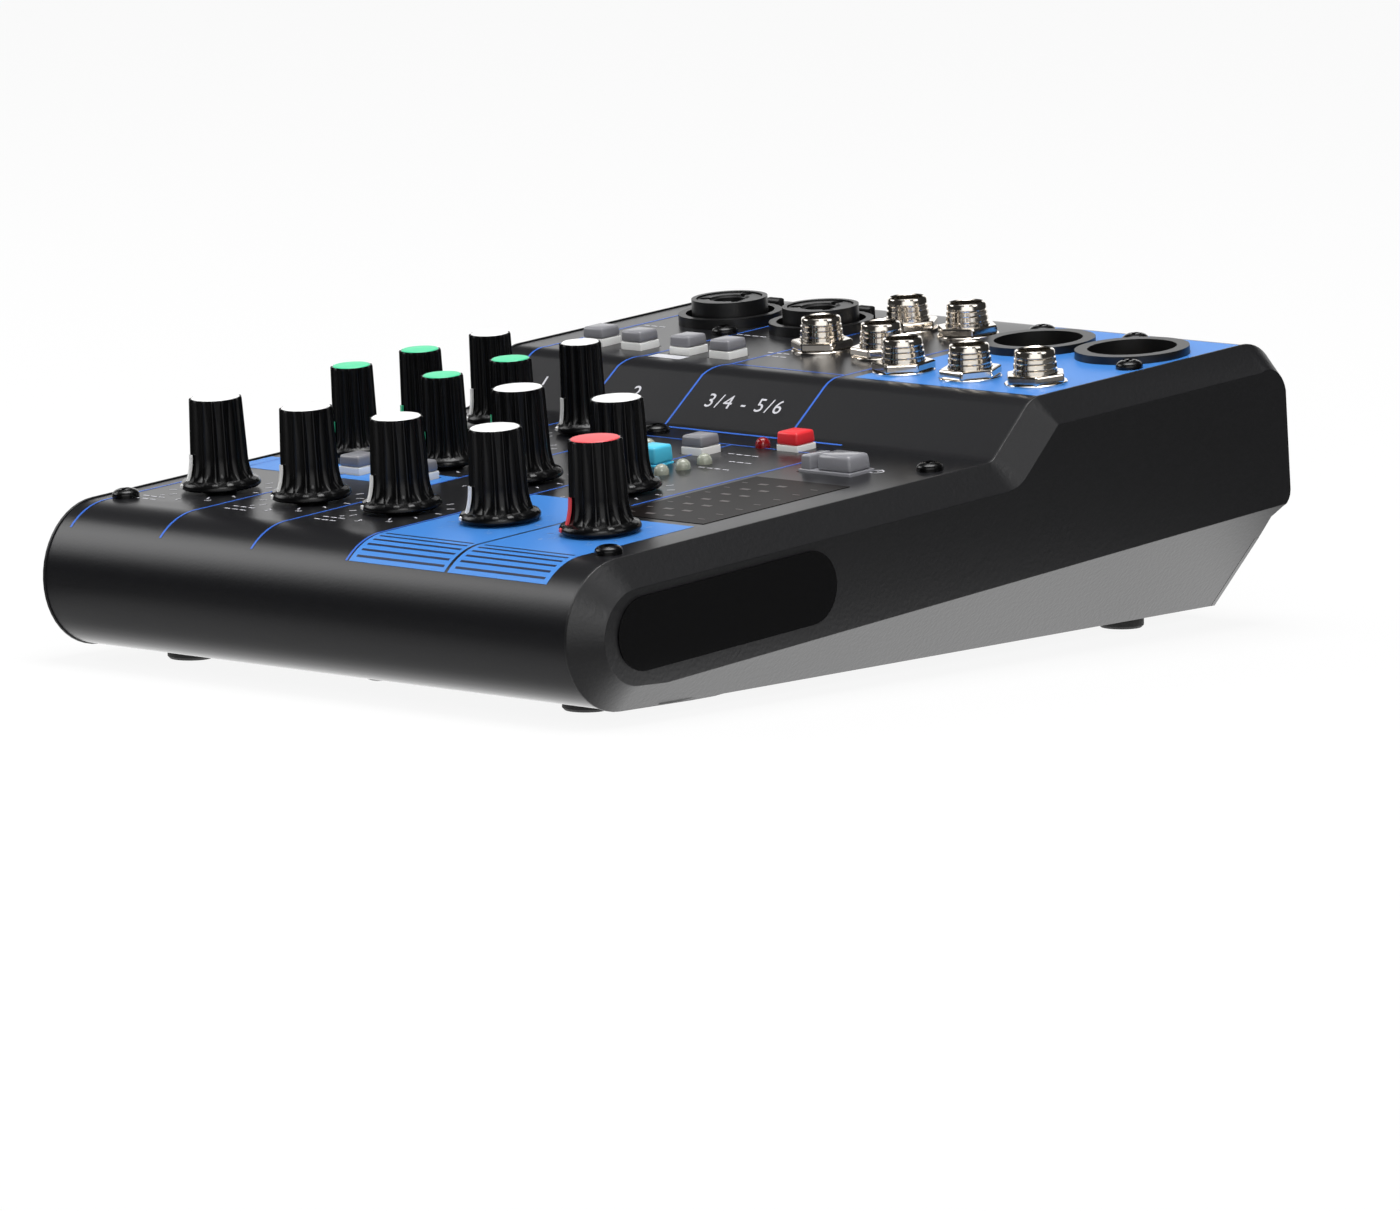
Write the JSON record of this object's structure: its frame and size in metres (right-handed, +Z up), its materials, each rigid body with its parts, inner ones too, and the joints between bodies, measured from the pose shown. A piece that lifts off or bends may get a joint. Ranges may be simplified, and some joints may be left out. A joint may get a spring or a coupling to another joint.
{
  "type": "mixing console",
  "caption": "Compact tabletop mixing console in black with a bent metal top, moulded side cheeks, fluted knobs with coloured caps, push buttons and a raised row of audio sockets",
  "frame": {"origin": "on the table, in the middle of the console's width and depth", "axes": "+X to the right side seen from the front, +Y from the nose to the rear, +Z up"},
  "size_m": [0.149, 0.2025, 0.0613],
  "materials": {
    "panel_black": "fine textured satin black",
    "base_steel": "plain black",
    "cheek_plastic": "fine matte texture",
    "gloss_black": "polished",
    "foot_rubber": "matte",
    "screw_black": "black finish on steel",
    "board_green": "solder-mask green",
    "pot_steel": "plain",
    "switch_white": "plain",
    "socket_black": "semi-matte moulded",
    "pin_brass": "bright",
    "jack_nickel": "bright nickel",
    "lens_clear": "clear dome",
    "window_smoke": "smoked, shiny",
    "knob_black": "semi-gloss moulded",
    "cap_red": "satin",
    "cap_green": "satin",
    "cap_white": "satin",
    "button_red": "satin",
    "button_blue": "satin, translucent",
    "gloss_grey": "polished",
    "button_grey": "satin"
  },
  "bodies": {
    "console": {"top_cover": "panel_black", "bottom_cover": "base_steel", "left_cheek": "cheek_plastic", "right_cheek": "cheek_plastic", "side_badges": "gloss_black", "rubber_feet": "foot_rubber", "panel_screws": "screw_black", "base_screws": "screw_black", "main_board": "board_green", "jack_board": "board_green", "potentiometers": "pot_steel", "switch_bodies": "switch_white", "combo_socket_1": "socket_black", "combo_socket_2": "socket_black", "xlr_outlet_1": "socket_black", "xlr_outlet_2": "socket_black", "outlet_pins": "pin_brass", "phone_jacks": "jack_nickel", "jack_nuts": "jack_nickel", "lamp_lenses": "lens_clear", "meter_window": "window_smoke", "dc_inlet": "socket_black"},
    "level_knob_1_body": {"level_knob_1": "knob_black", "level_cap_1": "cap_white"},
    "level_knob_2_body": {"level_knob_2": "knob_black", "level_cap_2": "cap_white"},
    "level_knob_3_body": {"level_knob_3": "knob_black", "level_cap_3": "cap_white"},
    "level_knob_4_body": {"level_knob_4": "knob_black", "level_cap_4": "cap_white"},
    "effect_knob_body": {"effect_knob": "knob_black", "effect_cap": "cap_white"},
    "phones_knob_body": {"phones_knob": "knob_black", "phones_cap": "cap_white"},
    "main_knob_body": {"main_knob": "knob_black", "main_cap": "cap_red"},
    "gain_knob_1_body": {"gain_knob_1": "knob_black", "gain_cap_1": "cap_white"},
    "gain_knob_2_body": {"gain_knob_2": "knob_black", "gain_cap_2": "cap_white"},
    "treble_knob_1_body": {"treble_knob_1": "knob_black", "treble_cap_1": "cap_green"},
    "treble_knob_2_body": {"treble_knob_2": "knob_black", "treble_cap_2": "cap_green"},
    "bass_knob_1_body": {"bass_knob_1": "knob_black", "bass_cap_1": "cap_green"},
    "bass_knob_2_body": {"bass_knob_2": "knob_black", "bass_cap_2": "cap_green"},
    "effect_button_1_body": {"effect_button_1": "button_grey"},
    "effect_button_2_body": {"effect_button_2": "button_grey"},
    "program_button_body": {"program_button": "button_blue"},
    "mono_button_body": {"mono_button": "button_grey"},
    "phantom_button_body": {"phantom_button": "button_red"},
    "power_button_body": {"power_button": "gloss_grey"},
    "pad_button_1_body": {"pad_button_1": "button_grey"},
    "filter_button_1_body": {"filter_button_1": "button_grey"},
    "pad_button_2_body": {"pad_button_2": "button_grey"},
    "filter_button_2_body": {"filter_button_2": "button_grey"},
    "combo_latch_1_body": {"combo_latch_1": "socket_black"},
    "combo_latch_2_body": {"combo_latch_2": "socket_black"}
  },
  "joints": [
    {"name": "level_turn_1", "type": "hinge", "parent": "console", "child": "level_knob_1_body", "pos_m": [-0.0525, -0.06962, 0.03253], "axis": [0, 0.0799, -0.9968], "range_deg": [0, 300]},
    {"name": "level_turn_2", "type": "hinge", "parent": "console", "child": "level_knob_2_body", "pos_m": [-0.0279, -0.06962, 0.03253], "axis": [0, 0.0799, -0.9968], "range_deg": [0, 300]},
    {"name": "level_turn_3", "type": "hinge", "parent": "console", "child": "level_knob_3_body", "pos_m": [-0.0037, -0.06962, 0.03253], "axis": [0, 0.0799, -0.9968], "range_deg": [0, 300]},
    {"name": "level_turn_4", "type": "hinge", "parent": "console", "child": "level_knob_4_body", "pos_m": [-0.0037, -0.03623, 0.03521], "axis": [0, 0.0799, -0.9968], "range_deg": [0, 300]},
    {"name": "effect_turn", "type": "hinge", "parent": "console", "child": "effect_knob_body", "pos_m": [0.0223, -0.03623, 0.03521], "axis": [0, 0.0799, -0.9968], "range_deg": [0, 300]},
    {"name": "phones_turn", "type": "hinge", "parent": "console", "child": "phones_knob_body", "pos_m": [0.0223, -0.06962, 0.03253], "axis": [0, 0.0799, -0.9968], "range_deg": [0, 300]},
    {"name": "main_turn", "type": "hinge", "parent": "console", "child": "main_knob_body", "pos_m": [0.0483, -0.06962, 0.03253], "axis": [0, 0.0799, -0.9968], "range_deg": [0, 300]},
    {"name": "gain_turn_1", "type": "hinge", "parent": "console", "child": "gain_knob_1_body", "pos_m": [-0.0525, 0.00663, 0.03864], "axis": [0, 0.0799, -0.9968], "range_deg": [0, 300]},
    {"name": "gain_turn_2", "type": "hinge", "parent": "console", "child": "gain_knob_2_body", "pos_m": [-0.0279, 0.00663, 0.03864], "axis": [0, 0.0799, -0.9968], "range_deg": [0, 300]},
    {"name": "treble_turn_1", "type": "hinge", "parent": "console", "child": "treble_knob_1_body", "pos_m": [-0.0525, -0.01311, 0.03706], "axis": [0, 0.0799, -0.9968], "range_deg": [0, 300]},
    {"name": "treble_turn_2", "type": "hinge", "parent": "console", "child": "treble_knob_2_body", "pos_m": [-0.0279, -0.01311, 0.03706], "axis": [0, 0.0799, -0.9968], "range_deg": [0, 300]},
    {"name": "bass_turn_1", "type": "hinge", "parent": "console", "child": "bass_knob_1_body", "pos_m": [-0.0525, -0.03224, 0.03553], "axis": [0, 0.0799, -0.9968], "range_deg": [0, 300]},
    {"name": "bass_turn_2", "type": "hinge", "parent": "console", "child": "bass_knob_2_body", "pos_m": [-0.0279, -0.03224, 0.03553], "axis": [0, 0.0799, -0.9968], "range_deg": [0, 300]},
    {"name": "effect_press_1", "type": "slide", "parent": "console", "child": "effect_button_1_body", "axis": [0, 0.0799, -0.9968], "range_m": [0, 0.0015]},
    {"name": "effect_press_2", "type": "slide", "parent": "console", "child": "effect_button_2_body", "axis": [0, 0.0799, -0.9968], "range_m": [0, 0.0015]},
    {"name": "program_press", "type": "slide", "parent": "console", "child": "program_button_body", "axis": [0, 0.0799, -0.9968], "range_m": [0, 0.0015]},
    {"name": "mono_press", "type": "slide", "parent": "console", "child": "mono_button_body", "axis": [0, 0.0799, -0.9968], "range_m": [0, 0.0015]},
    {"name": "phantom_press", "type": "slide", "parent": "console", "child": "phantom_button_body", "axis": [0, 0.0799, -0.9968], "range_m": [0, 0.0015]},
    {"name": "power_press", "type": "slide", "parent": "console", "child": "power_button_body", "axis": [0, 0.0799, -0.9968], "range_m": [0, 0.0015]},
    {"name": "pad_press_1", "type": "slide", "parent": "console", "child": "pad_button_1_body", "axis": [0, 0.0799, -0.9968], "range_m": [0, 0.0015]},
    {"name": "filter_press_1", "type": "slide", "parent": "console", "child": "filter_button_1_body", "axis": [0, 0.0799, -0.9968], "range_m": [0, 0.0015]},
    {"name": "pad_press_2", "type": "slide", "parent": "console", "child": "pad_button_2_body", "axis": [0, 0.0799, -0.9968], "range_m": [0, 0.0015]},
    {"name": "filter_press_2", "type": "slide", "parent": "console", "child": "filter_button_2_body", "axis": [0, 0.0799, -0.9968], "range_m": [0, 0.0015]},
    {"name": "combo_latch_1_press", "type": "slide", "parent": "console", "child": "combo_latch_1_body", "axis": [0, 0.0799, -0.9968], "range_m": [0, 0.0015]},
    {"name": "combo_latch_2_press", "type": "slide", "parent": "console", "child": "combo_latch_2_body", "axis": [0, 0.0799, -0.9968], "range_m": [0, 0.0015]}
  ]
}
